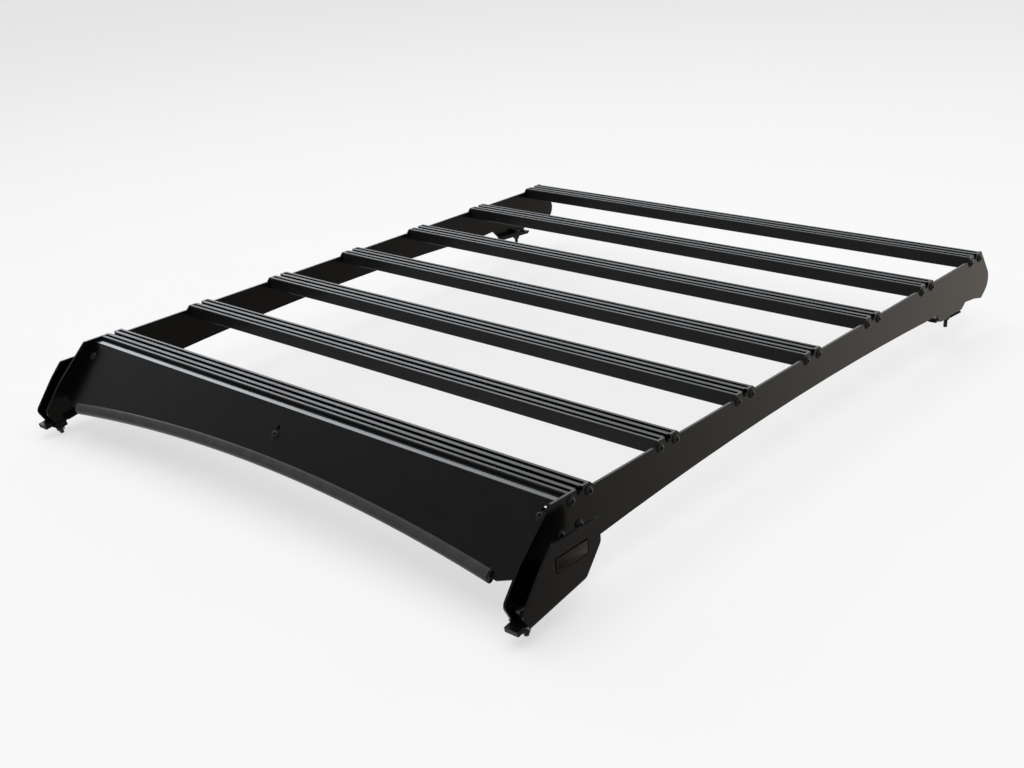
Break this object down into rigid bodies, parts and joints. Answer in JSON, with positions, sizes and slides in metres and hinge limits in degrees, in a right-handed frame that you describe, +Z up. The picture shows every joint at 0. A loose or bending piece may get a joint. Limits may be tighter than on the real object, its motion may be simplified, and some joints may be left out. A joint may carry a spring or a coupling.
{
  "type": "roof rack",
  "caption": "Flat roof rack platform: crosswise T-slotted slats between arched plate side rails, with a leaning front wind deflector and clamped feet.",
  "frame": {"origin": "floor level under the middle of the plan, with the front clamp bolts' ends on the floor", "axes": "+Z up, -Y to the deflector at the front, +X to the right seen from the front"},
  "size_m": [1.222, 1.4462, 0.1613],
  "materials": {
    "slat_coat": "fine-textured black powder coat",
    "rail_coat": "fine-textured black powder coat",
    "deflector_coat": "satin black powder coat",
    "bracket_coat": "black powder coat",
    "clamp_metal": "black coat",
    "bolt_steel": "zinc plated",
    "trim_rubber": "matt extruded rubber",
    "pad_rubber": "matt moulded rubber"
  },
  "bodies": {
    "root": {"slat_1": "slat_coat", "slat_2": "slat_coat", "slat_3": "slat_coat", "slat_4": "slat_coat", "slat_5": "slat_coat", "slat_6": "slat_coat", "slat_7": "slat_coat", "wind_deflector": "deflector_coat", "deflector_edge_trim": "trim_rubber", "deflector_middle_bracket": "bracket_coat", "left_side_rail": "rail_coat", "left_front_foot_cover": "rail_coat", "left_front_foot_pad": "pad_rubber", "left_rear_foot_pad": "pad_rubber", "left_front_clamp": "clamp_metal", "left_rear_clamp": "clamp_metal", "left_front_clamp_bolt": "bolt_steel", "left_rear_clamp_bolt": "bolt_steel", "left_deflector_end_bracket": "bracket_coat", "right_side_rail": "rail_coat", "right_front_foot_cover": "rail_coat", "right_front_foot_pad": "pad_rubber", "right_rear_foot_pad": "pad_rubber", "right_front_clamp": "clamp_metal", "right_rear_clamp": "clamp_metal", "right_front_clamp_bolt": "bolt_steel", "right_rear_clamp_bolt": "bolt_steel", "right_deflector_end_bracket": "bracket_coat"}
  },
  "joints": []
}
